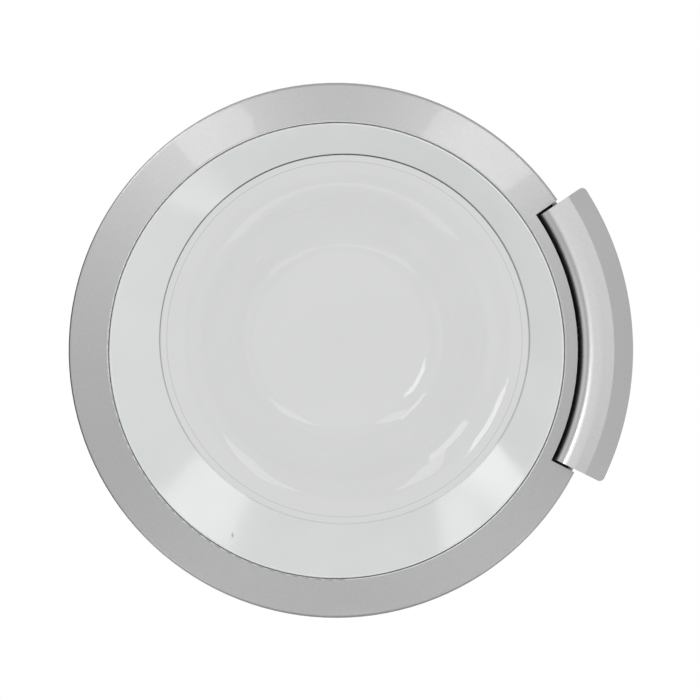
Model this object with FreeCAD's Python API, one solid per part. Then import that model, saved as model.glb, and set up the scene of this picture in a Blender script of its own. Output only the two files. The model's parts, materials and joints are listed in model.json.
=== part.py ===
import FreeCAD, Part
import math
import os
from FreeCAD import Vector

# Door of a front-loading washing machine, in millimetres.
# While the pieces are made, the ring's axis is the Y axis. The viewer stands at -Y, the machine's
# front panel is the plane Y = 0, and the glass bowl reaches past it into the machine.
# At the end everything moves along X, so that the origin is between the hinge's two screw holes.

# Window, bezel and ring, from the inside out
WINDOW_R = 138.4
WINDOW_X = 6.8
WINDOW_Z = 7.9
BEZEL_WIDTH = 30.9
BEZEL_DEPTH = 21.5
BEZEL_WALL = 2.2
BEZEL_LAND = 1.2
BEZEL_LIP = 1.0
BEZEL_ROUND = 0.7
BEZEL_SINK = 0.5
BEZEL_FOOT_INSET = 3.5
BEZEL_FOOT_DEPTH = 8.0
GROOVE = 0.8
RING_WIDTH = 29.9
RING_DEPTH = 38.0
RING_SLOPE_DROP = 8.5
RING_WALL = 2.5
RING_EDGE_ROUND = 3.0
RING_CREST_ROUND = 0.8
LEDGE_DEPTH = 8.0
LEDGE_WIDTH = 5.3

# Glass bowl
FLANGE_WIDTH = 12.5
GLASS_WALL = 5.0
GLASS_SEAT_GAP = 0.3
MOUTH_INSET = 5.0
BOWL_DEPTH = 60.0
BOWL_LEAN_DEG = 30.0
BOWL_DOME = 4.0
BOWL_MOUTH_ROUND = 38.0
BOWL_END_ROUND = 25.0

# Rear frame
PANEL_GAP = 9.0
FRAME_PLATE = 3.0
FRAME_PROUD = 1.0
FRAME_EDGE_ROUND = 0.8
PIECE_GAP = 0.3
COLLAR_GAP = 2.6
COLLAR_WALL = 8.0
LIP_WALL = 2.5
LIP_CATCH = 3.0
RIM_HEIGHT = 5.0
RIM_FOOT = 16.0
RIM_TOP = 6.0
RIM_ROUND = 1.6

# Screws
SCREW_R = 1.9
SCREW_FIT = 0.05
SCREW_PLAY = 0.4
SCREW_HEAD_R = 3.8
SCREW_HEAD_HEIGHT = 2.2
SCREW_HEAD_BEVEL = 0.7
SCREW_TIP = 1.0
FRAME_SCREW_LENGTH = 15.0
FRAME_SCREW_FIRST_DEG = 45.0
FRAME_SCREW_STEP_DEG = 30.0
FRAME_SCREWS_A_SIDE = 4
BOSS_WALL = 2.2

# Handle and its pocket in the ring
STRIP_WIDTH = 9.5
HANDLE_GAP = 1.4
HANDLE_END_GAP = 2.0
HANDLE_HALF_DEG = 30.1
HANDLE_OVERHANG = 22.0
CREASE_OVERHANG = 7.0
HANDLE_PROUD = 2.0
CREASE_DROP = 3.2
EDGE_DROP = 11.7
EDGE_THICK = 3.0
HANDLE_SIDE = 19.0
HANDLE_WALL = 2.2
HANDLE_ROLL = 10.0
CREASE_ROUND = 1.5
HANDLE_EDGE_ROUND = 1.4
HANDLE_CORNER_ROUND = 4.0
POCKET_WALL = 2.0
POCKET_SILL = 10.0
LEVER_FIT = 0.2
LEVER_DEPTH = 17.0
GRIP_WALL = 3.2
GRIP_INSET = 1.2
GRIP_ROUND = 4.0
COVER_SCREW_DEG = 22.0
COVER_SCREW_INSET = 10.0
COVER_SCREW_R = 1.3
COVER_SCREW_HEAD_R = 2.6
COVER_SCREW_HEAD_HEIGHT = 1.6
COVER_SCREW_LENGTH = 10.0
COVER_BOSS_R = 3.0

# Axle, latch and hook
AXLE_R = 2.0
AXLE_PLAY = 0.05
AXLE_INSET = 8.0
AXLE_DEPTH = 11.0
HOOK_HALF = 5.0
HOOK_EYE_R = 4.2
HOOK_REACH = 25.0
HOOK_BEAK = 10.0
HOOK_BEAK_HEIGHT = 12.0
HOOK_ARM = 6.5
HOOK_TIP = 4.0
HOOK_UNDERCUT = 1.0
HOOK_ROUND = 1.0
HOOK_NOSE_ROUND = 3.0
HOOK_SLOT_GAP = 0.8
HOOK_SIDE_GAP = 0.4
HOOK_SWING = 8.0
LEVER_LUG = 7.0
LEVER_LUG_START = 18.0
LEVER_EYE_R = 4.4
HOUSING_LUG = 5.0
HOUSING_LUG_GAP = 3.0
HOUSING_EYE_R = 4.0
HOUSING_FLOOR = 2.5
HOUSING_BOSS = 3.5
CLIP_THICK = 0.9
CLIP_R = 4.0
CLIP_GAP = 0.3
AXLE_END = 1.0
SPRING_R = 3.3
SPRING_WIRE = 0.8
SPRING_TURNS = 4
SPRING_PITCH = 1.6
SPRING_START = 8.0
LATCH_SCREW_LENGTH = 8.0
LATCH_SCREW_DEGS = (-26.0, -13.0, 13.0, 26.0)

# Hinge
PIVOT_INSET = 16.0
PIVOT_DEPTH = 12.0
PIN_R = 2.5
PIN_PLAY = 0.05
PIN_END = 1.0
PRESS_FIT = 0.03
BUSH_WALL = 1.5
BUSH_LENGTH = 12.0
BUSH_FLANGE_R = 5.5
BUSH_FLANGE = 1.5
KNUCKLE_R = 6.5
KNUCKLE_HALF = 17.0
ARM_GAP = 0.5
ARM_THICK = 5.0
ARM_HALF_WIDTH = 5.0
ARM_FOOT = 13.0
SLOT_GAP = 0.8
LEAF_GAP = 1.0
LEAF_THICK = 3.0
LEAF_HALF = 42.0
LEAF_OUTER = 6.0
LEAF_INNER = 10.0
LEAF_ROUND = 4.0
LEAF_SCREW_Z = 36.0
LEAF_SCREW_LENGTH = 9.0
HINGE_REACH = 18.0
PLATE_THICK = 3.0
PLATE_WIDTH = 18.0
PLATE_HEIGHT = 88.0
PLATE_ROUND = 4.0
MOUNT_HOLE_R = 2.75
MOUNT_SPACING = 68.0

# Radii that follow from the widths
BEZEL_R = WINDOW_R + BEZEL_WIDTH
RING_INNER_R = BEZEL_R + GROOVE
RING_R = RING_INNER_R + RING_WIDTH
SHELL_R = RING_R - RING_WALL
BOSS_R = (RING_INNER_R + RING_WALL + SHELL_R) / 2
FLANGE_R = WINDOW_R + FLANGE_WIDTH
BOWL_LEAN = math.radians(BOWL_LEAN_DEG)
MOUTH_R = WINDOW_R - MOUTH_INSET - BOWL_MOUTH_ROUND * math.tan(math.pi / 4 - BOWL_LEAN / 2)
BOWL_END_R = MOUTH_R - BOWL_DEPTH * math.tan(BOWL_LEAN)
COLLAR_R = WINDOW_R + COLLAR_GAP
POCKET_R = RING_INNER_R + STRIP_WIDTH
HANDLE_R = POCKET_R + HANDLE_GAP
HANDLE_OUTER_R = RING_R + HANDLE_OVERHANG
CREASE_R = RING_R + CREASE_OVERHANG

# Depths that follow, from the panel towards the viewer
FRAME_REAR_Y = -PANEL_GAP
FRAME_FRONT_Y = FRAME_REAR_Y - FRAME_PLATE
RING_REAR_Y = FRAME_REAR_Y - FRAME_PROUD
CREST_Y = RING_REAR_Y - RING_DEPTH
EDGE_Y = CREST_Y + RING_SLOPE_DROP
LEDGE_Y = CREST_Y + LEDGE_DEPTH
BEZEL_FRONT_Y = CREST_Y + BEZEL_SINK
BEZEL_BACK_Y = BEZEL_FRONT_Y + BEZEL_DEPTH
GLASS_FRONT_Y = BEZEL_BACK_Y + BEZEL_WALL + GLASS_SEAT_GAP
GLASS_REAR_Y = GLASS_FRONT_Y + GLASS_WALL
SILL_Y = RING_REAR_Y - POCKET_SILL
HANDLE_FRONT_Y = CREST_Y - HANDLE_PROUD
FLOOR_Y = FRAME_FRONT_Y - HOUSING_FLOOR

# Axes of the handle and the hinge, and the latch's stations along the axle
AXLE_X = HANDLE_R + AXLE_INSET
AXLE_Y = HANDLE_FRONT_Y + AXLE_DEPTH
PIVOT_X = PIVOT_INSET - RING_R
PIVOT_Y = RING_REAR_Y - PIVOT_DEPTH
LEVER_LUG_END = LEVER_LUG_START + LEVER_LUG
HOUSING_LUG_START = LEVER_LUG_END + HOUSING_LUG_GAP
HOUSING_LUG_END = HOUSING_LUG_START + HOUSING_LUG
CLIP_END = HOUSING_LUG_END + CLIP_GAP + CLIP_THICK
AXLE_HALF = CLIP_END + AXLE_END
ARM_START = KNUCKLE_HALF + BUSH_FLANGE + ARM_GAP
ARM_END = ARM_START + ARM_THICK
LEAF_REAR_Y = PIVOT_Y - KNUCKLE_R - LEAF_GAP
LEAF_FRONT_Y = LEAF_REAR_Y - LEAF_THICK
LEAF_SCREW_X = PIVOT_X + (LEAF_INNER - LEAF_OUTER) / 2
PLATE_X = PIVOT_X + HINGE_REACH

# Cuts run this far past what they cut, the funnel's by a share, and points this close are one point
PAST = 30.0
FUNNEL_AHEAD = 0.2
TOUCHING = 1e-6

Y_AXIS = Vector(0, 1, 0)
Z_AXIS = Vector(0, 0, 1)
WINDOW_CENTRE = Vector(WINDOW_X, 0, WINDOW_Z)
SIDES = (-1, 1)


def meet(first, second):
    """Point where two lines cross, each given by two points."""
    (ax, ay), (bx, by) = first
    (cx, cy), (dx, dy) = second
    turn = (bx - ax) * (dy - cy) - (by - ay) * (dx - cx)
    share = ((cx - ax) * (dy - cy) - (cy - ay) * (dx - cx)) / turn
    return (ax + share * (bx - ax), ay + share * (by - ay))


def beside(path, distance):
    """Points of a path moved to the left of its travel by a distance."""
    lines = []
    for (ax, ay), (bx, by) in zip(path, path[1:]):
        length = math.hypot(bx - ax, by - ay)
        move_x = -(by - ay) / length * distance
        move_y = (bx - ax) / length * distance
        lines.append(((ax + move_x, ay + move_y), (bx + move_x, by + move_y)))
    inner = [meet(first, second) for first, second in zip(lines, lines[1:])]
    return [lines[0][0]] + inner + [lines[-1][1]]


def flat_face(corners, upright=False):
    """Face whose corners are (a, b) or (a, b, round), in the XY plane or, upright, in XZ."""
    spots = [Vector(c[0], 0, c[1]) if upright else Vector(c[0], c[1], 0) for c in corners]
    stops = []
    for i, spot in enumerate(spots):
        radius = corners[i][2] if len(corners[i]) > 2 else 0.0
        if radius == 0.0:
            stops.append((spot, None, spot))
            continue
        before = (spots[i - 1] - spot).normalize()
        after = (spots[(i + 1) % len(spots)] - spot).normalize()
        half = before.getAngle(after) / 2
        reach = radius / math.tan(half)
        middle = (before + after).normalize() * (radius / math.sin(half) - radius)
        stops.append((spot + before * reach, spot + middle, spot + after * reach))
    edges = []
    for i, (start, middle, end) in enumerate(stops):
        if middle is not None:
            edges.append(Part.Arc(start, middle, end).toShape())
        following = stops[(i + 1) % len(stops)][0]
        if end.distanceToPoint(following) > TOUCHING:
            edges.append(Part.makeLine(end, following))
    return Part.Face(Part.Wire(edges))


def spin(corners, sweep=360.0):
    """Solid turned about the Y axis from corners (radius, y), centred on +X."""
    solid = flat_face(corners).revolve(Vector(), Y_AXIS, sweep)
    return solid.rotated(Vector(), Y_AXIS, -sweep / 2)


def tube(inner, outer, y_low, y_high, sweep=360.0):
    return spin([(inner, y_low), (outer, y_low), (outer, y_high), (inner, y_high)], sweep)


def rod_y(x, z, radius, y_low, y_high):
    return Part.makeCylinder(radius, y_high - y_low, Vector(x, y_low, z), Y_AXIS)


def rod_z(x, y, radius, z_low, z_high):
    return Part.makeCylinder(radius, z_high - z_low, Vector(x, y, z_low), Z_AXIS)


def plate_z(corners, z_low, z_high):
    face = flat_face(corners).translated(Vector(0, 0, z_low))
    return face.extrude(Vector(0, 0, z_high - z_low))


def plate_y(corners, y_low, y_high):
    face = flat_face(corners, upright=True).translated(Vector(0, y_low, 0))
    return face.extrude(Vector(0, y_high - y_low, 0))


def block(x_low, x_high, y_low, y_high, z_low, z_high):
    corner = Vector(x_low, y_low, z_low)
    return Part.makeBox(x_high - x_low, y_high - y_low, z_high - z_low, corner)


def round_spot(degrees, radius):
    """X and Z of a spot on a circle about the ring's axis, counted from +X towards +Z."""
    angle = math.radians(degrees)
    return radius * math.cos(angle), radius * math.sin(angle)


def arc_degrees(length, radius):
    return math.degrees(length / radius)


def screw(x, z, seat_y, length, shank_r, head_r, head_height):
    """Screw that enters along -Y, with its head behind the seat."""
    tip_y = seat_y - length
    outline = [
        (0, tip_y),
        (shank_r / 2, tip_y),
        (shank_r, tip_y + SCREW_TIP),
        (shank_r, seat_y),
        (head_r, seat_y),
        (head_r, seat_y + head_height - SCREW_HEAD_BEVEL),
        (head_r - SCREW_HEAD_BEVEL, seat_y + head_height),
        (0, seat_y + head_height),
    ]
    return spin(outline).translated(Vector(x, 0, z))


def frame_screw_spots():
    spots = []
    for side in SIDES:
        for step in range(FRAME_SCREWS_A_SIDE):
            degrees = side * (FRAME_SCREW_FIRST_DEG + step * FRAME_SCREW_STEP_DEG)
            spots.append(round_spot(degrees, BOSS_R))
    return spots


def latch_screw_spots():
    middle = (POCKET_R + SHELL_R) / 2
    return [round_spot(degrees, middle) for degrees in LATCH_SCREW_DEGS]


def cover_screw_spots():
    return [round_spot(side * COVER_SCREW_DEG, HANDLE_R + COVER_SCREW_INSET) for side in SIDES]


def hinge_slots():
    """Space in the ring's wall and the rear frame for the bracket's two arms over the swing."""
    slots = []
    for side in SIDES:
        z_near = side * (ARM_START - SLOT_GAP)
        z_far = side * (ARM_END + SLOT_GAP)
        z_low = min(z_near, z_far)
        z_high = max(z_near, z_far)
        slots.append(block(-RING_R - PAST, PLATE_X + ARM_FOOT / 2, LEAF_REAR_Y - LEAF_GAP, 0, z_low, z_high))
    return slots


def hook_slot(y_low, y_high, inward=0.0):
    """Space for the hook's arm over its swing, opened inward where its piece ends there."""
    half = HOOK_HALF + HOOK_SIDE_GAP
    x_low = POCKET_R + PIECE_GAP
    x_high = x_low + HOOK_ARM + HOOK_SWING + 2 * HOOK_SLOT_GAP
    return block(x_low - inward, x_high, y_low, y_high, -half, half)


# The ring: a turned shell with bosses, and a pocket for the handle
def front_ring():
    shell_path = [(RING_INNER_R, LEDGE_Y), (RING_INNER_R, CREST_Y), (RING_R, EDGE_Y), (RING_R, RING_REAR_Y)]
    inside = beside(shell_path, RING_WALL)
    shell = spin([
        shell_path[0],
        (RING_INNER_R, CREST_Y, RING_CREST_ROUND),
        (RING_R, EDGE_Y, RING_EDGE_ROUND),
        shell_path[3],
        inside[3],
        inside[2],
        inside[1],
        inside[0],
    ])
    envelope = spin([
        (RING_INNER_R, CREST_Y, RING_CREST_ROUND),
        (RING_R, EDGE_Y, RING_EDGE_ROUND),
        (RING_R, RING_REAR_Y),
        (RING_INNER_R, RING_REAR_Y),
    ])
    ledge = tube(RING_INNER_R - LEDGE_WIDTH, RING_INNER_R + RING_WALL, LEDGE_Y, LEDGE_Y + RING_WALL)

    open_deg = 2 * (HANDLE_HALF_DEG + arc_degrees(HANDLE_END_GAP, HANDLE_R))
    wall_deg = open_deg + 2 * arc_degrees(POCKET_WALL, HANDLE_R)
    wall_rear_y = FRAME_FRONT_Y - PIECE_GAP
    pocket_walls = tube(POCKET_R - POCKET_WALL, RING_R, CREST_Y, wall_rear_y, wall_deg)
    additions = [ledge, pocket_walls.common(envelope)]

    holes = hinge_slots()
    holes.append(tube(POCKET_R, HANDLE_OUTER_R, HANDLE_FRONT_Y, SILL_Y, open_deg))
    holes.append(tube(POCKET_R, SHELL_R, SILL_Y - RING_WALL, 0, open_deg))
    boss_r = SCREW_R + BOSS_WALL
    hole_r = SCREW_R + SCREW_FIT
    for x, z in frame_screw_spots():
        additions.append(rod_y(x, z, boss_r, CREST_Y, FRAME_FRONT_Y).common(envelope))
        holes.append(rod_y(x, z, hole_r, FRAME_REAR_Y - FRAME_SCREW_LENGTH - SCREW_TIP, 0))
    for side in SIDES:
        z = side * LEAF_SCREW_Z
        additions.append(rod_y(LEAF_SCREW_X, z, boss_r, CREST_Y, LEAF_FRONT_Y).common(envelope))
        holes.append(rod_y(LEAF_SCREW_X, z, hole_r, LEAF_REAR_Y - LEAF_SCREW_LENGTH - SCREW_FIT, 0))
    return shell.fuse(additions).cut(holes)


# The bezel: a funnel between two circles that don't share a centre
def funnel(shift):
    """Cone between the two circles, moved back by shift and lengthened towards the viewer."""
    wide_r = BEZEL_R - BEZEL_LAND
    narrow_r = WINDOW_R - BEZEL_LIP
    wide_centre = Vector(0, BEZEL_FRONT_Y + shift, 0)
    narrow_centre = WINDOW_CENTRE + Vector(0, BEZEL_BACK_Y + shift, 0)
    wide_centre = wide_centre + (wide_centre - narrow_centre) * FUNNEL_AHEAD
    wide_r = wide_r + (wide_r - narrow_r) * FUNNEL_AHEAD
    wide = Part.makeCircle(wide_r, wide_centre, Y_AXIS)
    narrow = Part.makeCircle(narrow_r, narrow_centre, Y_AXIS)
    return Part.makeLoft([Part.Wire(wide), Part.Wire(narrow)], True, True)


def inner_bezel():
    rim = tube(BEZEL_R - BEZEL_WALL - BEZEL_LAND, BEZEL_R, BEZEL_FRONT_Y, LEDGE_Y)
    front_edges = [
        edge for edge in rim.Edges
        if abs(edge.BoundBox.YMax - BEZEL_FRONT_Y) < PIECE_GAP and edge.BoundBox.XMax > BEZEL_R - BEZEL_WALL
    ]
    rim = rim.makeFillet(BEZEL_ROUND, front_edges)
    foot_inner = WINDOW_R + BEZEL_FOOT_INSET
    foot_rear = BEZEL_BACK_Y + BEZEL_WALL
    foot = tube(foot_inner, foot_inner + BEZEL_WALL, BEZEL_BACK_Y - BEZEL_FOOT_DEPTH, foot_rear)
    within_rim = rod_y(0, 0, BEZEL_R - BEZEL_LAND / 2, BEZEL_FRONT_Y + BEZEL_SINK, BEZEL_BACK_Y + PAST)
    wall = funnel(BEZEL_WALL).common(within_rim)
    body = wall.fuse([rim, foot.translated(WINDOW_CENTRE)])
    window = rod_y(WINDOW_X, WINDOW_Z, WINDOW_R, BEZEL_FRONT_Y, BEZEL_BACK_Y + PAST)
    return body.cut([funnel(0.0), window])


# The glass: a flange, a trumpet mouth and a bowl of even wall, turned about the window's axis
def glass_bowl():
    end_y = GLASS_FRONT_Y + BOWL_DEPTH
    front = [
        (FLANGE_R, GLASS_FRONT_Y),
        (MOUTH_R, GLASS_FRONT_Y),
        (BOWL_END_R, end_y),
        (0, end_y + BOWL_DOME),
    ]
    back = beside(front, -GLASS_WALL)
    dome_slope = BOWL_DOME / BOWL_END_R
    outline = [
        front[0],
        (front[1][0], front[1][1], BOWL_MOUTH_ROUND),
        (front[2][0], front[2][1], BOWL_END_ROUND),
        front[3],
        (0, back[3][1] + back[3][0] * dome_slope),
        (back[2][0], back[2][1], BOWL_END_ROUND + GLASS_WALL),
        (back[1][0], back[1][1], BOWL_MOUTH_ROUND - GLASS_WALL),
        back[0],
    ]
    return spin(outline).translated(WINDOW_CENTRE)


# The rear frame: plate, clamping collar, centring lip and a raised rim round the bowl
def rear_frame():
    outer_r = SHELL_R - PIECE_GAP
    plate = spin([
        (0, FRAME_FRONT_Y),
        (outer_r, FRAME_FRONT_Y),
        (outer_r, FRAME_REAR_Y, FRAME_EDGE_ROUND),
        (0, FRAME_REAR_Y),
    ])
    lip_r = FLANGE_R + PIECE_GAP
    collar = tube(COLLAR_R, COLLAR_R + COLLAR_WALL, GLASS_REAR_Y, FRAME_FRONT_Y)
    lip = tube(lip_r, lip_r + LIP_WALL, GLASS_REAR_Y - LIP_CATCH, FRAME_FRONT_Y)
    rim = spin([
        (COLLAR_R, FRAME_FRONT_Y),
        (COLLAR_R + RIM_FOOT, FRAME_FRONT_Y),
        (COLLAR_R + RIM_FOOT, FRAME_REAR_Y),
        (COLLAR_R + RIM_TOP, FRAME_REAR_Y + RIM_HEIGHT, RIM_ROUND),
        (COLLAR_R, FRAME_REAR_Y + RIM_HEIGHT, RIM_ROUND),
    ])
    holes = hinge_slots()
    holes.append(rod_y(WINDOW_X, WINDOW_Z, COLLAR_R, GLASS_REAR_Y, FRAME_REAR_Y + PAST))
    holes.append(hook_slot(FRAME_FRONT_Y - PAST, FRAME_REAR_Y + PAST))
    for x, z in frame_screw_spots() + latch_screw_spots():
        holes.append(rod_y(x, z, SCREW_R + SCREW_PLAY, FRAME_FRONT_Y - PAST, 0))
    body = plate.fuse([ring.translated(WINDOW_CENTRE) for ring in (collar, lip, rim)])
    return body.cut(holes)


def frame_screws():
    screws = [
        screw(x, z, FRAME_REAR_Y, FRAME_SCREW_LENGTH, SCREW_R, SCREW_HEAD_R, SCREW_HEAD_HEIGHT)
        for x, z in frame_screw_spots()
    ]
    return Part.makeCompound(screws)


def latch_screws():
    screws = [
        screw(x, z, FRAME_REAR_Y, LATCH_SCREW_LENGTH, SCREW_R, SCREW_HEAD_R, SCREW_HEAD_HEIGHT)
        for x, z in latch_screw_spots()
    ]
    return Part.makeCompound(screws)


# The latch housing: the pocket's floor, with two lugs for the axle
def latch_housing():
    half_deg = HANDLE_HALF_DEG + arc_degrees(HANDLE_END_GAP - PIECE_GAP, HANDLE_R)
    floor = tube(POCKET_R + PIECE_GAP, SHELL_R - PIECE_GAP, FLOOR_Y, FRAME_FRONT_Y, 2 * half_deg)
    additions = []
    holes = [hook_slot(FLOOR_Y - PAST, FRAME_FRONT_Y + PAST, PAST)]
    for side in SIDES:
        z_low = min(side * HOUSING_LUG_START, side * HOUSING_LUG_END)
        z_high = z_low + HOUSING_LUG
        x_low = AXLE_X - HOUSING_EYE_R
        x_high = AXLE_X + HOUSING_EYE_R
        top_y = AXLE_Y - HOUSING_EYE_R
        additions.append(plate_z([
            (x_low, FRAME_FRONT_Y),
            (x_low, top_y, HOUSING_EYE_R),
            (x_high, top_y, HOUSING_EYE_R),
            (x_high, FRAME_FRONT_Y),
        ], z_low, z_high))
        holes.append(rod_z(AXLE_X, AXLE_Y, AXLE_R + PRESS_FIT, z_low - PAST, z_high + PAST))
    for x, z in latch_screw_spots():
        additions.append(rod_y(x, z, SCREW_R + BOSS_WALL, FLOOR_Y - HOUSING_BOSS, FRAME_FRONT_Y))
        holes.append(rod_y(x, z, SCREW_R + SCREW_FIT, FRAME_REAR_Y - LATCH_SCREW_LENGTH - SCREW_FIT, 0))
    return floor.fuse(additions).cut(holes)


# The handle: a silver cover with a rolled inner edge and a crease, over a lever with the eyes
def handle_path():
    return [
        (HANDLE_R, HANDLE_FRONT_Y + HANDLE_SIDE),
        (HANDLE_R, HANDLE_FRONT_Y),
        (CREASE_R, HANDLE_FRONT_Y + CREASE_DROP),
        (HANDLE_OUTER_R, HANDLE_FRONT_Y + EDGE_DROP),
        (HANDLE_OUTER_R, HANDLE_FRONT_Y + EDGE_DROP + EDGE_THICK),
    ]


def handle_cover():
    side, corner, crease, edge, rim = handle_path()
    outside = spin([
        side,
        (corner[0], corner[1], HANDLE_ROLL),
        (crease[0], crease[1], CREASE_ROUND),
        (edge[0], edge[1], HANDLE_EDGE_ROUND),
        rim,
    ], 2 * HANDLE_HALF_DEG)
    block_y_low = HANDLE_FRONT_Y - PAST
    plan = tube(HANDLE_R, HANDLE_OUTER_R, block_y_low, HANDLE_FRONT_Y + PAST, 2 * HANDLE_HALF_DEG)
    upright_edges = [edge for edge in plan.Edges if edge.BoundBox.YLength > PAST]
    outer_edges = [e for e in upright_edges if math.hypot(e.BoundBox.XMax, e.BoundBox.ZMax) > RING_R
                   or math.hypot(e.BoundBox.XMax, e.BoundBox.ZMin) > RING_R]
    outside = outside.common(plan.makeFillet(HANDLE_CORNER_ROUND, outer_edges))

    inner = beside(handle_path(), HANDLE_WALL)
    hollow_deg = 2 * (HANDLE_HALF_DEG - arc_degrees(HANDLE_WALL, HANDLE_R))
    hollow = spin([
        (inner[0][0], inner[0][1] + PAST),
        (inner[1][0], inner[1][1], HANDLE_ROLL - HANDLE_WALL),
        inner[2],
        inner[3],
        (inner[4][0], inner[4][1] + PAST),
    ], hollow_deg)
    cover = outside.cut(hollow)
    boss_rear_y = HANDLE_FRONT_Y + LEVER_DEPTH - COVER_SCREW_LENGTH / 2
    bosses = []
    holes = []
    for x, z in cover_screw_spots():
        bosses.append(rod_y(x, z, COVER_BOSS_R, block_y_low, boss_rear_y).common(outside))
        hole_low_y = HANDLE_FRONT_Y + LEVER_DEPTH - COVER_SCREW_LENGTH - SCREW_FIT
        holes.append(rod_y(x, z, COVER_SCREW_R + SCREW_FIT, hole_low_y, boss_rear_y + PAST))
    return cover.fuse(bosses).cut(holes)


def handle_lever():
    inner = beside(handle_path(), HANDLE_WALL + LEVER_FIT)
    under = beside(handle_path(), HANDLE_WALL + LEVER_FIT + GRIP_WALL)
    rear_y = HANDLE_FRONT_Y + LEVER_DEPTH
    sweep = 2 * (HANDLE_HALF_DEG - arc_degrees(HANDLE_WALL + LEVER_FIT, HANDLE_R))
    body = spin([
        (inner[0][0], rear_y),
        (inner[1][0], inner[1][1], HANDLE_ROLL - HANDLE_WALL),
        inner[2],
        inner[3],
        (inner[3][0], under[3][1]),
        (under[2][0], under[2][1], GRIP_ROUND),
        (SHELL_R + GRIP_INSET, rear_y, GRIP_INSET),
    ], sweep)
    room_half = AXLE_HALF + AXLE_END
    room = block(0, SHELL_R - GRIP_INSET, inner[1][1] - PAST, rear_y + PAST, -room_half, room_half)
    body = body.cut(room)
    lugs = []
    holes = []
    for side in SIDES:
        z_low = min(side * LEVER_LUG_START, side * LEVER_LUG_END)
        z_high = z_low + LEVER_LUG
        web_y = AXLE_Y - LEVER_EYE_R
        lugs.append(rod_z(AXLE_X, AXLE_Y, LEVER_EYE_R, z_low, z_high))
        lugs.append(block(AXLE_X, SHELL_R, web_y, AXLE_Y + LEVER_EYE_R, z_low, z_high))
        holes.append(rod_z(AXLE_X, AXLE_Y, AXLE_R + AXLE_PLAY, z_low - PAST, z_high + PAST))
    boss_rear_y = rear_y - COVER_SCREW_LENGTH / 2
    for x, z in cover_screw_spots():
        holes.append(rod_y(x, z, COVER_BOSS_R + PIECE_GAP, inner[1][1] - PAST, boss_rear_y + PIECE_GAP))
        holes.append(rod_y(x, z, COVER_SCREW_R + SCREW_PLAY, boss_rear_y, rear_y + PAST))
    return body.fuse(lugs).cut(holes)


def cover_screws():
    seat_y = HANDLE_FRONT_Y + LEVER_DEPTH
    screws = [
        screw(x, z, seat_y, COVER_SCREW_LENGTH, COVER_SCREW_R, COVER_SCREW_HEAD_R, COVER_SCREW_HEAD_HEIGHT)
        for x, z in cover_screw_spots()
    ]
    return Part.makeCompound(screws)


# The axle with its push-on rings and the two torsion springs on it
def handle_axle():
    return rod_z(AXLE_X, AXLE_Y, AXLE_R, -AXLE_HALF, AXLE_HALF)


def axle_clips():
    clips = []
    for side in SIDES:
        z_low = min(side * CLIP_END, side * (CLIP_END - CLIP_THICK))
        ring = rod_z(AXLE_X, AXLE_Y, CLIP_R, z_low, z_low + CLIP_THICK)
        clips.append(ring.cut(rod_z(AXLE_X, AXLE_Y, AXLE_R + PRESS_FIT, -AXLE_HALF, AXLE_HALF)))
    return Part.makeCompound(clips)


def torsion_spring(z_low):
    coil_height = SPRING_TURNS * SPRING_PITCH
    helix = Part.makeHelix(SPRING_PITCH, coil_height, SPRING_R)
    inner = SPRING_R - SPRING_WIRE / 2
    outer = SPRING_R + SPRING_WIRE / 2
    half = SPRING_WIRE / 2
    section = flat_face([(inner, -half), (outer, -half), (outer, half), (inner, half)], upright=True)
    coil = Part.Wire(helix).makePipeShell([section.OuterWire], True, True)
    return coil.translated(Vector(AXLE_X, AXLE_Y, z_low))


def handle_spring():
    return torsion_spring(SPRING_START)


def hook_spring():
    return torsion_spring(-SPRING_START - SPRING_TURNS * SPRING_PITCH)


# The hook: an eye on the axle, an arm through the rear frame and a beak that points inward
def latch_hook():
    arm_x = POCKET_R + PIECE_GAP + HOOK_SLOT_GAP
    wall_x = HANDLE_R + HANDLE_WALL + PIECE_GAP
    side_y = HANDLE_FRONT_Y + HANDLE_SIDE
    beak_y = HOOK_REACH - HOOK_BEAK_HEIGHT
    arm = plate_z([
        (wall_x, AXLE_Y),
        (wall_x, side_y + PIECE_GAP),
        (arm_x, FLOOR_Y - HOOK_ARM),
        (arm_x, beak_y, HOOK_ROUND),
        (arm_x - HOOK_BEAK, beak_y - HOOK_UNDERCUT, HOOK_ROUND),
        (arm_x - HOOK_BEAK, beak_y - HOOK_UNDERCUT + HOOK_TIP, HOOK_ROUND),
        (arm_x + HOOK_UNDERCUT, HOOK_REACH, HOOK_NOSE_ROUND),
        (arm_x + HOOK_ARM, HOOK_REACH, HOOK_NOSE_ROUND),
        (arm_x + HOOK_ARM, FLOOR_Y - HOOK_ARM),
        (AXLE_X + HOOK_EYE_R, AXLE_Y + HOOK_EYE_R),
        (AXLE_X + HOOK_EYE_R, AXLE_Y),
    ], -HOOK_HALF, HOOK_HALF)
    eye = rod_z(AXLE_X, AXLE_Y, HOOK_EYE_R, -HOOK_HALF, HOOK_HALF)
    bore = rod_z(AXLE_X, AXLE_Y, AXLE_R + AXLE_PLAY, -PAST, PAST)
    return arm.fuse(eye).cut(bore)


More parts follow.
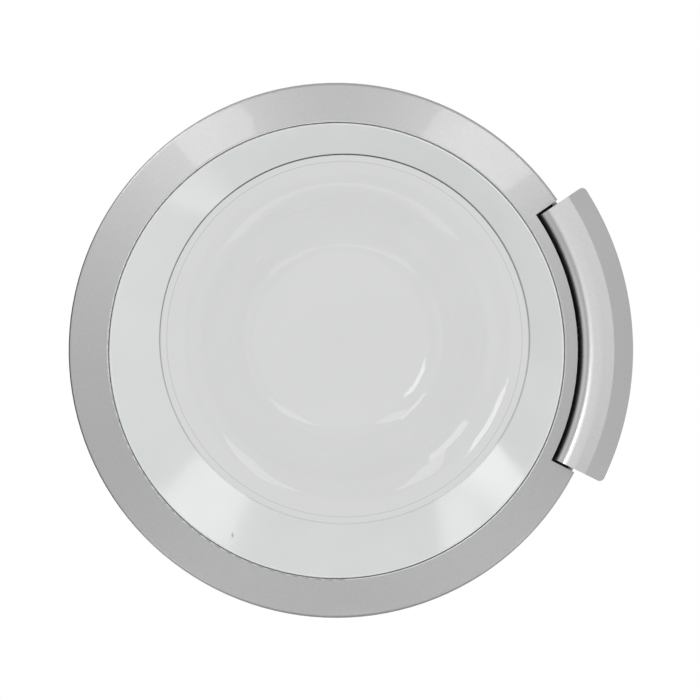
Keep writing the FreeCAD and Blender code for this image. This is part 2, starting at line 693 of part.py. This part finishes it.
# The hinge: bracket on the machine, pin, bushes, and the leaf inside the ring
def hinge_bracket():
    half_width = PLATE_WIDTH / 2
    half_height = PLATE_HEIGHT / 2
    plate = plate_y([
        (PLATE_X - half_width, -half_height, PLATE_ROUND),
        (PLATE_X + half_width, -half_height, PLATE_ROUND),
        (PLATE_X + half_width, half_height, PLATE_ROUND),
        (PLATE_X - half_width, half_height, PLATE_ROUND),
    ], -PLATE_THICK, 0)
    lean = math.atan2(-PIVOT_Y, HINGE_REACH)
    across_x = ARM_HALF_WIDTH * math.sin(lean)
    across_y = ARM_HALF_WIDTH * math.cos(lean)
    foot_y = -PLATE_THICK / 2
    arms = []
    holes = []
    for side in SIDES:
        z_low = min(side * ARM_START, side * ARM_END)
        z_high = z_low + ARM_THICK
        arms.append(rod_z(PIVOT_X, PIVOT_Y, KNUCKLE_R, z_low, z_high))
        arms.append(plate_z([
            (PIVOT_X - across_x, PIVOT_Y + across_y),
            (PIVOT_X + across_x, PIVOT_Y - across_y),
            (PLATE_X + ARM_FOOT / 2, foot_y),
            (PLATE_X - ARM_FOOT / 2, foot_y),
        ], z_low, z_high))
        holes.append(rod_z(PIVOT_X, PIVOT_Y, PIN_R + PRESS_FIT, z_low - PAST, z_high + PAST))
        holes.append(rod_y(PLATE_X, side * MOUNT_SPACING / 2, MOUNT_HOLE_R, -PAST, PAST))
    return plate.fuse(arms).cut(holes)


def hinge_pin():
    return rod_z(PIVOT_X, PIVOT_Y, PIN_R, -ARM_END - PIN_END, ARM_END + PIN_END)


def hinge_bush(side):
    seat_z = KNUCKLE_HALF
    inner_r = PIN_R + PIN_PLAY
    outer_r = inner_r + BUSH_WALL
    sleeve = rod_z(0, 0, outer_r, seat_z - BUSH_LENGTH, seat_z)
    flange = rod_z(0, 0, BUSH_FLANGE_R, seat_z, seat_z + BUSH_FLANGE)
    bush = sleeve.fuse(flange).cut(rod_z(0, 0, inner_r, -PAST, PAST))
    if side < 0:
        bush = bush.rotated(Vector(), Y_AXIS, 180)
    return bush.translated(Vector(PIVOT_X, PIVOT_Y, 0))


def hinge_leaf():
    plate = plate_y([
        (PIVOT_X - LEAF_OUTER, -LEAF_HALF, LEAF_ROUND),
        (PIVOT_X + LEAF_INNER, -LEAF_HALF, LEAF_ROUND),
        (PIVOT_X + LEAF_INNER, LEAF_HALF, LEAF_ROUND),
        (PIVOT_X - LEAF_OUTER, LEAF_HALF, LEAF_ROUND),
    ], LEAF_FRONT_Y, LEAF_REAR_Y)
    knuckle = rod_z(PIVOT_X, PIVOT_Y, KNUCKLE_R, -KNUCKLE_HALF, KNUCKLE_HALF)
    web_half = KNUCKLE_R - LEAF_GAP
    web = block(
        PIVOT_X - web_half, PIVOT_X + web_half, LEAF_FRONT_Y, PIVOT_Y, -KNUCKLE_HALF, KNUCKLE_HALF
    )
    bore_r = PIN_R + PIN_PLAY + BUSH_WALL + PRESS_FIT
    holes = [rod_z(PIVOT_X, PIVOT_Y, bore_r, -PAST, PAST)]
    for side in SIDES:
        holes.append(rod_y(LEAF_SCREW_X, side * LEAF_SCREW_Z, SCREW_R + SCREW_PLAY, LEAF_FRONT_Y - PAST, 0))
    return plate.fuse([knuckle, web]).cut(holes)


def leaf_screws():
    screws = [
        screw(LEAF_SCREW_X, side * LEAF_SCREW_Z, LEAF_REAR_Y, LEAF_SCREW_LENGTH,
              SCREW_R, SCREW_HEAD_R, SCREW_HEAD_HEIGHT)
        for side in SIDES
    ]
    return Part.makeCompound(screws)


PIECES = {
    "front_ring": front_ring(),
    "inner_bezel": inner_bezel(),
    "glass_bowl": glass_bowl(),
    "rear_frame": rear_frame(),
    "frame_screws": frame_screws(),
    "latch_housing": latch_housing(),
    "latch_screws": latch_screws(),
    "handle_cover": handle_cover(),
    "handle_lever": handle_lever(),
    "cover_screws": cover_screws(),
    "handle_axle": handle_axle(),
    "axle_clips": axle_clips(),
    "handle_spring": handle_spring(),
    "latch_hook": latch_hook(),
    "hook_spring": hook_spring(),
    "hinge_bracket": hinge_bracket(),
    "hinge_pin": hinge_pin(),
    "hinge_leaf": hinge_leaf(),
    "hinge_bush_upper": hinge_bush(1),
    "hinge_bush_lower": hinge_bush(-1),
    "leaf_screws": leaf_screws(),
}

os.makedirs("parts", exist_ok=True)
for name, shape in PIECES.items():
    shape.translated(Vector(-PLATE_X, 0, 0)).exportStep(f"parts/{name}.step")
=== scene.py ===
import json
import math

import bmesh
import bpy
from mathutils import Matrix, Vector

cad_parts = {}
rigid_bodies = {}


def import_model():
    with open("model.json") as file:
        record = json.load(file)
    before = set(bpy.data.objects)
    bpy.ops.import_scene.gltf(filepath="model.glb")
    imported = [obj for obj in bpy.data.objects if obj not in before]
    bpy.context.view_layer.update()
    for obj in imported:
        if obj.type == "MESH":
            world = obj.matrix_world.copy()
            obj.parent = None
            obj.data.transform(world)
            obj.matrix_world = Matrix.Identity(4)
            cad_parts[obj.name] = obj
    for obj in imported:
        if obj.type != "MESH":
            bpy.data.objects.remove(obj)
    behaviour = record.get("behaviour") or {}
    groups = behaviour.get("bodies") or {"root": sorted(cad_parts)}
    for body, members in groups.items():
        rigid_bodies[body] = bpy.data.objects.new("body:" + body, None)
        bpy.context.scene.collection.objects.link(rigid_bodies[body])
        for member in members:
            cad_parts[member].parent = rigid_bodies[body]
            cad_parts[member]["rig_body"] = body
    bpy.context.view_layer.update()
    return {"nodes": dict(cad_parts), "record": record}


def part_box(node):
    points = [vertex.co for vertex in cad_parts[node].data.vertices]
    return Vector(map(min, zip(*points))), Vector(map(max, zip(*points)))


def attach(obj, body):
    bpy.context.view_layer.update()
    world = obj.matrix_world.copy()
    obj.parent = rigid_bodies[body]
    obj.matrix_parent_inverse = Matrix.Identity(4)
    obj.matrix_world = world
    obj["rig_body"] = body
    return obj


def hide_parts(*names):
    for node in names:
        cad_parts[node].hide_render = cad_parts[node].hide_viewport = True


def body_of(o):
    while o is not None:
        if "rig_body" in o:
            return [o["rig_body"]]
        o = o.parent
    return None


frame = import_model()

# Places and directions in the shared frame, in metres
RING_LOW, RING_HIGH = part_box("front_ring")
RING_MIDDLE = (RING_LOW + RING_HIGH) / 2
RING_CENTRE = Vector((RING_MIDDLE.x, RING_LOW.y, RING_MIDDLE.z))
RING_RADIUS = (RING_HIGH.z - RING_LOW.z) / 2
GLASS_LOW, GLASS_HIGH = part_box("glass_bowl")
WINDOW_CENTRE = (GLASS_LOW + GLASS_HIGH) / 2
FLANGE_WIDTH = 0.0125
WINDOW_RADIUS = (GLASS_HIGH.z - GLASS_LOW.z) / 2 - FLANGE_WIDTH
TO_VIEWER = Vector((0.0, -1.0, 0.0))
UP = Vector((0.0, 0.0, 1.0))

# Painted light in the ring's groove: a light, non-metallic tone that lifts the groove's shade, with its
# inset from the ring's outer edge
GROOVE_LIGHT_INSET = 0.0298
GROOVE_LIGHT_FADE = 0.0004
GROOVE_LIGHT_TONE = (0.85, 0.85, 0.85, 1.0)

# Soft start of the handle's inner roll, with insets from the ring's outer edge
ROLL_START_INSET = 0.0110
ROLL_END_INSET = 0.0015
ROLL_RISE = 0.0011

# Painted shadow of the bezel's lip round the window, stronger at the top than at the bottom
LIP_SHADOW_WIDTH = 0.0007
LIP_SHADOW_FADE = 0.0004
LIP_SHADOW_TONE = (0.05, 0.05, 0.05, 1.0)
LIP_SHADOW_TOP = 1.0
LIP_SHADOW_BOTTOM = 0.1

# Painted shade in the glass: a darker ring where the bowl's curved shoulder begins, with its inset from the
# window's edge
SHOULDER_SHADE_INSET = 0.0046
SHOULDER_SHADE_HALF = 0.0006
SHOULDER_SHADE_TONE = (0.80, 0.81, 0.81, 1.0)

# Speck on the white funnel, with its inset from the ring's outer edge, its half sizes and the share of
# them that is solid
SPECK_INSET = 0.042
SPECK_TURN = math.radians(236.9)
SPECK_HALF = (0.0010, 0.05, 0.0022)
SPECK_SOLID = 0.7
SPECK_TONE = (0.40, 0.39, 0.37, 1.0)

# Cross recesses of the screws, in metres and in shares of the flat top of a head
RECESSED_SCREWS = ("frame_screws", "latch_screws", "cover_screws")
RECESS_REACH = 0.72
RECESS_WIDTH = 0.0009
RECESS_DEPTH = 0.0010
RECESS_TURN_STEP = math.radians(37)
HEAD_SPREAD = 0.008
SHARP_EDGE = math.radians(30)
SAME_PLACE = 0.00001

# The photograph's view, in pixels of its 700 x 700 frame
PHOTO_SIZE = 700
PHOTO_RING_X = 337.06
PHOTO_RING_Y = 350.8
PHOTO_RING_R = 268.9
CAMERA_DISTANCE = 2.2
CAMERA_FROM_LEFT = math.radians(1.4)
CAMERA_FROM_ABOVE = math.radians(0.8)
CAMERA_ROLL = math.radians(3.6)
SENSOR_MM = 36.0

# Floor, in metres
FLOOR_DROP = 0.7
FLOOR_RADIUS = 1.0
FLOOR_FADE_START = 0.55
FLOOR_SIDES = 128

# Levels of the world's light; reflections grow dark towards the dark side, where the cosine of the angle
# to it lies between start and full
FULL_LEVEL = 1.0
AMBIENT = 0.66
BEHIND_GLASS = 0.675
DARK_SIDE = Vector((-1.0, 0.6, 0.0)).normalized()
DARK_SIDE_START = 0.77
DARK_SIDE_FULL = 0.87
DARK_SIDE_LEVEL = 0.0

# Light panels: a turn is counted from the right towards the top as the viewer sees it, off_axis from the
# door's axis, and a panel's length lies along the line from the axis, turned by its lean
PANELS = {
    "front_panel": dict(turn=35, off_axis=8, distance=2.8, length=2.4, width=2.6, radiance=0.7),
    "upper_left": dict(turn=117, off_axis=45, distance=1.6, length=0.8, width=0.3, radiance=3.3, lean=17),
    "upper_right": dict(
        turn=48, off_axis=43, distance=1.6, length=0.75, width=0.38, radiance=3.6, lean=-32,
    ),
    "below": dict(turn=270, off_axis=56, distance=1.7, length=0.8, width=3.0, radiance=2.0),
    "far_left": dict(
        turn=131, off_axis=68, distance=1.6, length=0.5, width=0.55, radiance=5.0, diffuse=False,
    ),
    "left_of_camera": dict(
        turn=146, off_axis=17, distance=2.6, length=0.5, width=0.35, radiance=9.5, diffuse=False,
    ),
    "left_side": dict(turn=178, off_axis=62, distance=1.8, length=0.8, width=1.2, radiance=0.5),
    "right_side": dict(
        turn=-4, off_axis=59, distance=1.6, length=0.6, width=1.9, radiance=0.28, diffuse=False,
    ),
}

# Finishes: ACROSS_AXIS keeps the depth out of a distance, and a noise has the dark tone below NOISE_DARK
# and the light one above NOISE_LIGHT
WHITE = (1.0, 1.0, 1.0, 1.0)
EVEN = (1.0, 1.0, 1.0)
ACROSS_AXIS = (1.0, 1000.0, 1.0)
NOISE_DETAIL = 3.0
NOISE_DARK = 0.3
NOISE_LIGHT = 0.7
SILVER_COAT = 0.55
SILVER_GRAIN = 0.04
SILVERS = {
    "silver": dict(level=0.323, roughness=0.44, coat_roughness=0.05),
    # The handle's silver is a lighter copy of the ring's: painted light that brightens the handle
    "silver_handle": dict(level=0.35, roughness=0.28, coat_roughness=0.16),
}
PLASTICS = {
    "rear_plastic": dict(dark=(0.585, 0.595, 0.595), light=(0.605, 0.615, 0.615), roughness=0.45),
    "dark_plastic": dict(dark=(0.006, 0.006, 0.007), light=(0.014, 0.014, 0.015), roughness=0.5),
    "bush_plastic": dict(dark=(0.58, 0.55, 0.45), light=(0.66, 0.63, 0.53), roughness=0.4),
}
METALS = {
    "zinc": dict(dark=(0.40, 0.40, 0.39), light=(0.52, 0.52, 0.51), roughness=0.42),
    "steel": dict(
        dark=(0.50, 0.50, 0.50), light=(0.62, 0.62, 0.62), roughness=0.27, stretch=(1.0, 1.0, 0.1),
    ),
}


def add_camera():
    """Long lens in front of the door, a little to the left and above, rolled as in the photograph."""
    metres_a_pixel = RING_RADIUS / PHOTO_RING_R
    away = Vector((
        -math.sin(CAMERA_FROM_LEFT) * math.cos(CAMERA_FROM_ABOVE),
        -math.cos(CAMERA_FROM_LEFT) * math.cos(CAMERA_FROM_ABOVE),
        math.sin(CAMERA_FROM_ABOVE),
    ))
    level_right = UP.cross(away).normalized()
    level_up = away.cross(level_right)
    right = level_right * math.cos(CAMERA_ROLL) - level_up * math.sin(CAMERA_ROLL)
    up = level_up * math.cos(CAMERA_ROLL) + level_right * math.sin(CAMERA_ROLL)
    aim = RING_CENTRE.copy()
    aim += right * (PHOTO_SIZE / 2 - PHOTO_RING_X) * metres_a_pixel
    aim -= up * (PHOTO_SIZE / 2 - PHOTO_RING_Y) * metres_a_pixel
    turn = Matrix((right, up, away)).transposed().to_4x4()
    data = bpy.data.cameras.new("camera")
    data.sensor_width = SENSOR_MM
    data.lens = SENSOR_MM * CAMERA_DISTANCE / (PHOTO_SIZE * metres_a_pixel)
    camera = bpy.data.objects.new("camera", data)
    camera.matrix_world = Matrix.Translation(aim + away * CAMERA_DISTANCE) @ turn
    bpy.context.collection.objects.link(camera)
    bpy.context.scene.camera = camera


def add_panel(name, turn, off_axis, distance, length, width, radiance, lean=0, diffuse=True):
    """Evenly bright panel that faces the door."""
    turn = math.radians(turn)
    off_axis = math.radians(off_axis)
    side = Vector((math.cos(turn), 0.0, math.sin(turn)))
    away = side * math.sin(off_axis) + TO_VIEWER * math.cos(off_axis)
    outward = side * math.cos(off_axis) - TO_VIEWER * math.sin(off_axis)
    axes = Matrix((outward, away.cross(outward), away)).transposed().to_4x4()
    data = bpy.data.lights.new(name, "AREA")
    data.shape = "RECTANGLE"
    data.size = length
    data.size_y = width
    data.energy = radiance * math.pi * length * width
    light = bpy.data.objects.new(name, data)
    place = Matrix.Translation(RING_CENTRE + away * distance)
    light.matrix_world = place @ axes @ Matrix.Rotation(math.radians(lean), 4, "Z")
    light.visible_diffuse = diffuse
    light.visible_transmission = False
    bpy.context.collection.objects.link(light)


def feed(tree, value, socket):
    """Links an output to an input, or sets a number on it."""
    if isinstance(value, bpy.types.NodeSocket):
        tree.links.new(value, socket)
    else:
        socket.default_value = value


def vector_step(tree, operation, first, second=EVEN):
    """Outputs of one step of vector arithmetic; a step that needs only one vector ignores the second."""
    node = tree.nodes.new("ShaderNodeVectorMath")
    node.operation = operation
    tree.links.new(first, node.inputs[0])
    node.inputs[1].default_value = second
    return node.outputs


def map_range(tree, value, start, end, low, high, smooth=False):
    """Low where the value is at its start, high where it is at its end."""
    node = tree.nodes.new("ShaderNodeMapRange")
    node.interpolation_type = "SMOOTHSTEP" if smooth else "LINEAR"
    node.inputs["From Min"].default_value = start
    node.inputs["From Max"].default_value = end
    node.inputs["To Min"].default_value = low
    node.inputs["To Max"].default_value = high
    tree.links.new(value, node.inputs["Value"])
    return node.outputs["Result"]


def reflected_level(tree):
    """Full level in all directions but those near the dark side."""
    direction = tree.nodes.new("ShaderNodeTexCoord").outputs["Generated"]
    nearness = vector_step(tree, "DOT_PRODUCT", direction, DARK_SIDE)["Value"]
    return map_range(tree, nearness, DARK_SIDE_START, DARK_SIDE_FULL, FULL_LEVEL, DARK_SIDE_LEVEL)


def add_world():
    """White where it is seen or reflected, and dimmer through the glass and as fill light."""
    world = bpy.data.worlds.new("studio")
    world.use_nodes = True
    tree = world.node_tree
    tree.nodes.clear()
    path = tree.nodes.new("ShaderNodeLightPath")
    level = AMBIENT
    for ray, seen in (
        ("Is Glossy Ray", reflected_level(tree)),
        ("Is Transmission Ray", BEHIND_GLASS),
        ("Is Camera Ray", FULL_LEVEL),
    ):
        choice = tree.nodes.new("ShaderNodeMix")
        tree.links.new(path.outputs[ray], choice.inputs["Factor"])
        feed(tree, level, choice.inputs["A"])
        feed(tree, seen, choice.inputs["B"])
        level = choice.outputs["Result"]
    background = tree.nodes.new("ShaderNodeBackground")
    background.inputs["Color"].default_value = WHITE
    tree.links.new(level, background.inputs["Strength"])
    output = tree.nodes.new("ShaderNodeOutputWorld")
    tree.links.new(background.outputs["Background"], output.inputs["Surface"])
    bpy.context.scene.world = world


class Finish:
    """Principled material with noise and marks in the object's own coordinates."""

    def __init__(self, name, **inputs):
        self.material = bpy.data.materials.new(name)
        self.material.use_nodes = True
        self.tree = self.material.node_tree
        self.shader = self.tree.nodes["Principled BSDF"]
        for socket, value in inputs.items():
            self.shader.inputs[socket.replace("_", " ")].default_value = value
        self.coordinates = self.tree.nodes.new("ShaderNodeTexCoord").outputs["Object"]

    def drive(self, socket, value):
        """Links an output to an input of the shader."""
        self.tree.links.new(value, self.shader.inputs[socket])

    def noise(self, scale, detail=NOISE_DETAIL, stretch=EVEN):
        mapping = self.tree.nodes.new("ShaderNodeMapping")
        mapping.inputs["Scale"].default_value = stretch
        self.tree.links.new(self.coordinates, mapping.inputs["Vector"])
        node = self.tree.nodes.new("ShaderNodeTexNoise")
        node.inputs["Scale"].default_value = scale
        node.inputs["Detail"].default_value = detail
        self.tree.links.new(mapping.outputs["Vector"], node.inputs["Vector"])
        return node.outputs["Fac"]

    def tones(self, dark, light, **noise):
        """Base colour between two tones."""
        ramp = self.tree.nodes.new("ShaderNodeValToRGB")
        for count, (position, tone) in enumerate(((NOISE_DARK, dark), (NOISE_LIGHT, light))):
            stop = ramp.color_ramp.elements[count]
            stop.position = position
            stop.color = (*tone, 1.0)
        self.tree.links.new(self.noise(**noise), ramp.inputs["Fac"])
        self.drive("Base Color", ramp.outputs["Color"])

    def roughness(self, middle, spread, **noise):
        """Roughness within a spread to both sides of its middle."""
        rough = map_range(self.tree, self.noise(**noise), 0.0, 1.0, middle - spread, middle + spread)
        self.drive("Roughness", rough)

    def grain(self, height, **noise):
        """Uneven surface of a given height."""
        self.bump(self.noise(**noise), height)

    def bump(self, value, height):
        """Adds a bump to the ones before it."""
        node = self.tree.nodes.new("ShaderNodeBump")
        node.inputs["Strength"].default_value = 1.0
        node.inputs["Distance"].default_value = height
        self.tree.links.new(value, node.inputs["Height"])
        normal = self.shader.inputs["Normal"]
        if normal.is_linked:
            self.tree.links.new(normal.links[0].from_socket, node.inputs["Normal"])
        self.drive("Normal", node.outputs["Normal"])
        return node.outputs["Normal"]

    def mark(self, share, tone):
        """Lays a tone over the base colour."""
        base = self.shader.inputs["Base Color"]
        mix = self.tree.nodes.new("ShaderNodeMix")
        mix.data_type = "RGBA"
        mix.inputs["B"].default_value = tone
        self.tree.links.new(base.links[0].from_socket, mix.inputs["A"])
        self.tree.links.new(share, mix.inputs["Factor"])
        self.drive("Base Color", mix.outputs["Result"])

    def reach(self, centre, half=EVEN):
        """Distance from a centre, in multiples of the half sizes."""
        offset = vector_step(self.tree, "SUBTRACT", self.coordinates, centre)["Vector"]
        share = vector_step(self.tree, "DIVIDE", offset, half)["Vector"]
        return vector_step(self.tree, "LENGTH", share)["Value"]

    def from_axis(self, centre):
        """Distance from the axis through a centre."""
        return self.reach(centre, ACROSS_AXIS)

    def height(self):
        """Z of the object's own coordinates."""
        parts = self.tree.nodes.new("ShaderNodeSeparateXYZ")
        self.tree.links.new(self.coordinates, parts.inputs["Vector"])
        return parts.outputs["Z"]

    def rising(self, value, start, end, smooth=False):
        """0 up to a start and 1 past an end."""
        return map_range(self.tree, value, start, end, 0.0, 1.0, smooth)

    def falling(self, value, start, end, smooth=False):
        """1 up to a start and 0 past an end."""
        return map_range(self.tree, value, start, end, 1.0, 0.0, smooth)

    def times(self, first, second):
        product = self.tree.nodes.new("ShaderNodeMath")
        product.operation = "MULTIPLY"
        self.tree.links.new(first, product.inputs[0])
        self.tree.links.new(second, product.inputs[1])
        return product.outputs["Value"]


def grey(level):
    return (level, level, level)


def silver(name):
    """Coated silver that ends at a light, non-metallic tone in the ring's groove, painted light that lifts
    the groove's shade.
    """
    values = SILVERS[name]
    level = values["level"]
    finish = Finish(name, Coat_Weight=SILVER_COAT, Coat_Roughness=values["coat_roughness"])
    finish.tones(dark=grey(level * (1 - SILVER_GRAIN)), light=grey(level * (1 + SILVER_GRAIN)), scale=900.0)
    finish.roughness(middle=values["roughness"], spread=0.02, scale=60.0)
    finish.grain(height=0.000004, scale=1600.0)
    # Painted light: a light, non-metallic tone in the groove stands in for light reaching into its shade
    groove_light_radius = RING_RADIUS - GROOVE_LIGHT_INSET
    groove_light = finish.falling(finish.from_axis(RING_CENTRE), groove_light_radius, groove_light_radius + GROOVE_LIGHT_FADE)
    finish.mark(groove_light, GROOVE_LIGHT_TONE)
    finish.drive("Metallic", finish.falling(groove_light, 0.0, 1.0))
    return finish


def handle_silver():
    """The ring's silver at a lighter level, painted light that brightens the handle, with the soft start of
    the handle's inner roll.
    """
    finish = silver("silver_handle")
    start = RING_RADIUS - ROLL_START_INSET
    end = RING_RADIUS - ROLL_END_INSET
    roll = finish.rising(finish.from_axis(RING_CENTRE), start, end, smooth=True)
    finish.drive("Coat Normal", finish.bump(roll, ROLL_RISE))
    return finish.material


def white_plastic():
    """Glossy white, with the painted shadow of the lip round the window and the speck."""
    finish = Finish("white_plastic")
    finish.tones(dark=(0.625, 0.645, 0.64), light=(0.645, 0.665, 0.66), scale=30.0)
    finish.roughness(middle=0.12, spread=0.02, scale=80.0)
    finish.grain(height=0.000004, scale=120.0)
    # Painted shadow: a dark band along the window's edge, darker towards the top, where the lip shades the
    # glass
    lip_shadow_edge = WINDOW_RADIUS + LIP_SHADOW_WIDTH
    lip_shadow = finish.falling(finish.from_axis(WINDOW_CENTRE), lip_shadow_edge, lip_shadow_edge + LIP_SHADOW_FADE)
    lowest = WINDOW_CENTRE.z - WINDOW_RADIUS
    highest = WINDOW_CENTRE.z + WINDOW_RADIUS
    depth = map_range(finish.tree, finish.height(), lowest, highest, LIP_SHADOW_BOTTOM, LIP_SHADOW_TOP)
    finish.mark(finish.times(lip_shadow, depth), LIP_SHADOW_TONE)
    speck_side = Vector((math.cos(SPECK_TURN), 0.0, math.sin(SPECK_TURN)))
    speck_place = RING_CENTRE + speck_side * (RING_RADIUS - SPECK_INSET)
    speck = finish.falling(finish.reach(speck_place, SPECK_HALF), SPECK_SOLID, 1.0)
    finish.mark(speck, SPECK_TONE)
    return finish.material


def clear_glass():
    """Clear glass, with a painted dark ring inside the window's edge that stands in for the shade at the
    bowl's curved shoulder.
    """
    finish = Finish("clear_glass", Transmission_Weight=1.0, IOR=1.3)
    finish.tones(dark=(0.95, 0.96, 0.955), light=(0.97, 0.98, 0.975), scale=12.0)
    finish.roughness(middle=0.0075, spread=0.0075, scale=25.0)
    finish.grain(height=0.00005, scale=14.0, detail=1.0)
    # Painted shade: a darker tint in a thin ring where the bowl's shoulder begins
    shoulder_shade_radius = WINDOW_RADIUS - SHOULDER_SHADE_INSET
    from_axis = finish.from_axis(WINDOW_CENTRE)
    inside = finish.rising(from_axis, shoulder_shade_radius - SHOULDER_SHADE_HALF, shoulder_shade_radius)
    outside = finish.falling(from_axis, shoulder_shade_radius, shoulder_shade_radius + SHOULDER_SHADE_HALF)
    finish.mark(finish.times(inside, outside), SHOULDER_SHADE_TONE)
    return finish.material


def moulded_plastic(name, dark, light, roughness):
    """Plastic with the fine texture of a mould."""
    finish = Finish(name)
    finish.tones(dark, light, scale=400.0)
    finish.roughness(roughness, spread=0.05, scale=150.0)
    finish.grain(height=0.00003, scale=2200.0)
    return finish.material


def metal(name, dark, light, roughness, stretch=EVEN):
    """Bare metal, whose grain can be drawn out in one direction."""
    finish = Finish(name, Metallic=1.0)
    finish.tones(dark, light, scale=300.0, stretch=stretch)
    finish.roughness(roughness, spread=0.07, scale=500.0, stretch=stretch)
    finish.grain(height=0.00002, scale=900.0, stretch=stretch)
    return finish.material


def floor_finish():
    """Pale and matt, fading out at the floor's rim."""
    finish = Finish("floor", Roughness=0.6)
    finish.tones(dark=grey(0.83), light=grey(0.86), scale=6.0)
    from_middle = finish.reach(Vector())
    finish.drive("Alpha", finish.falling(from_middle, FLOOR_FADE_START, FLOOR_RADIUS, smooth=True))
    return finish.material


def add_floor():
    """Round floor under the door, out of the photograph's frame."""
    bpy.ops.mesh.primitive_circle_add(
        vertices=FLOOR_SIDES,
        radius=FLOOR_RADIUS,
        fill_type="NGON",
        location=(RING_CENTRE.x, 0.0, RING_LOW.z - FLOOR_DROP),
    )
    floor = bpy.context.object
    floor.name = "floor"
    floor.data.materials.append(floor_finish())


def head_tops(node):
    """Middle and radius of the flat top of each screw head in a node."""
    spots = [vertex.co for vertex in node.data.vertices]
    top = max(spot.y for spot in spots)
    heads = []
    for spot in spots:
        if top - spot.y > SAME_PLACE:
            continue
        near = [head for head in heads if (head[0] - spot).length < HEAD_SPREAD]
        if near:
            near[0].append(spot)
        else:
            heads.append([spot])
    tops = []
    for head in heads:
        left, right = min(spot.x for spot in head), max(spot.x for spot in head)
        low, high = min(spot.z for spot in head), max(spot.z for spot in head)
        tops.append((Vector(((left + right) / 2, top, (low + high) / 2)), (right - left) / 2))
    return tops


def recess_cutter(tops):
    """Two crossed bars sunk into each head, as one object."""
    form = bmesh.new()
    for count, (middle, radius) in enumerate(tops):
        reach = 2 * RECESS_REACH * radius
        place = Matrix.Translation(middle) @ Matrix.Rotation(count * RECESS_TURN_STEP, 4, "Y")
        for along_x, along_z in ((reach, RECESS_WIDTH), (RECESS_WIDTH, reach)):
            size = Matrix.Diagonal((along_x, 2 * RECESS_DEPTH, along_z, 1.0))
            bmesh.ops.create_cube(form, size=1.0, matrix=place @ size)
    data = bpy.data.meshes.new("recess_cutter")
    form.to_mesh(data)
    form.free()
    cutter = bpy.data.objects.new("recess_cutter", data)
    bpy.context.collection.objects.link(cutter)
    return cutter


def cut_out(screws, cutter):
    """Takes the cutter's form out of a copied mesh and shades it with sharp edges and flat tops."""
    if "custom_normal" in screws.data.attributes:
        screws.data.attributes.remove(screws.data.attributes["custom_normal"])
    screws.modifiers.new("weld", "WELD").merge_threshold = SAME_PLACE
    cut = screws.modifiers.new("cut", "BOOLEAN")
    cut.object = cutter
    cut.use_self = True
    evaluated = screws.evaluated_get(bpy.context.evaluated_depsgraph_get())
    screws.data = bpy.data.meshes.new_from_object(evaluated)
    screws.modifiers.clear()
    screws.data.shade_smooth()
    screws.data.set_sharp_from_angle(angle=SHARP_EDGE)
    screws.modifiers.new("flat_tops", "WEIGHTED_NORMAL").keep_sharp = True


def add_recessed(name):
    """Puts the same screws with cross recesses in the place of a node's plain ones."""
    node = frame["nodes"][name]
    screws = bpy.data.objects.new(f"{name}_recessed", node.data.copy())
    bpy.context.collection.objects.link(screws)
    cutter = recess_cutter(head_tops(node))
    cut_out(screws, cutter)
    bpy.data.objects.remove(cutter)
    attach(screws, body_of(node)[0])
    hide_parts(name)


def dress(materials, special):
    """Gives each CAD node the finish of its slot, or one of its own."""
    for part in frame["record"]["subparts"]:
        node = frame["nodes"][part["node"]]
        node.data.materials.clear()
        node.data.materials.append(special.get(part["node"], materials[part["material_slot"]]))


bpy.context.scene.view_settings.view_transform = "Standard"
add_camera()
for panel, values in PANELS.items():
    add_panel(panel, **values)
add_world()
add_floor()

slots = {"silver": silver("silver").material, "white": white_plastic(), "clear_glass": clear_glass()}
for plastic, values in PLASTICS.items():
    slots[plastic] = moulded_plastic(plastic, **values)
for alloy, values in METALS.items():
    slots[alloy] = metal(alloy, **values)
dress(slots, {"handle_cover": handle_silver()})

for plain_screws in RECESSED_SCREWS:
    add_recessed(plain_screws)
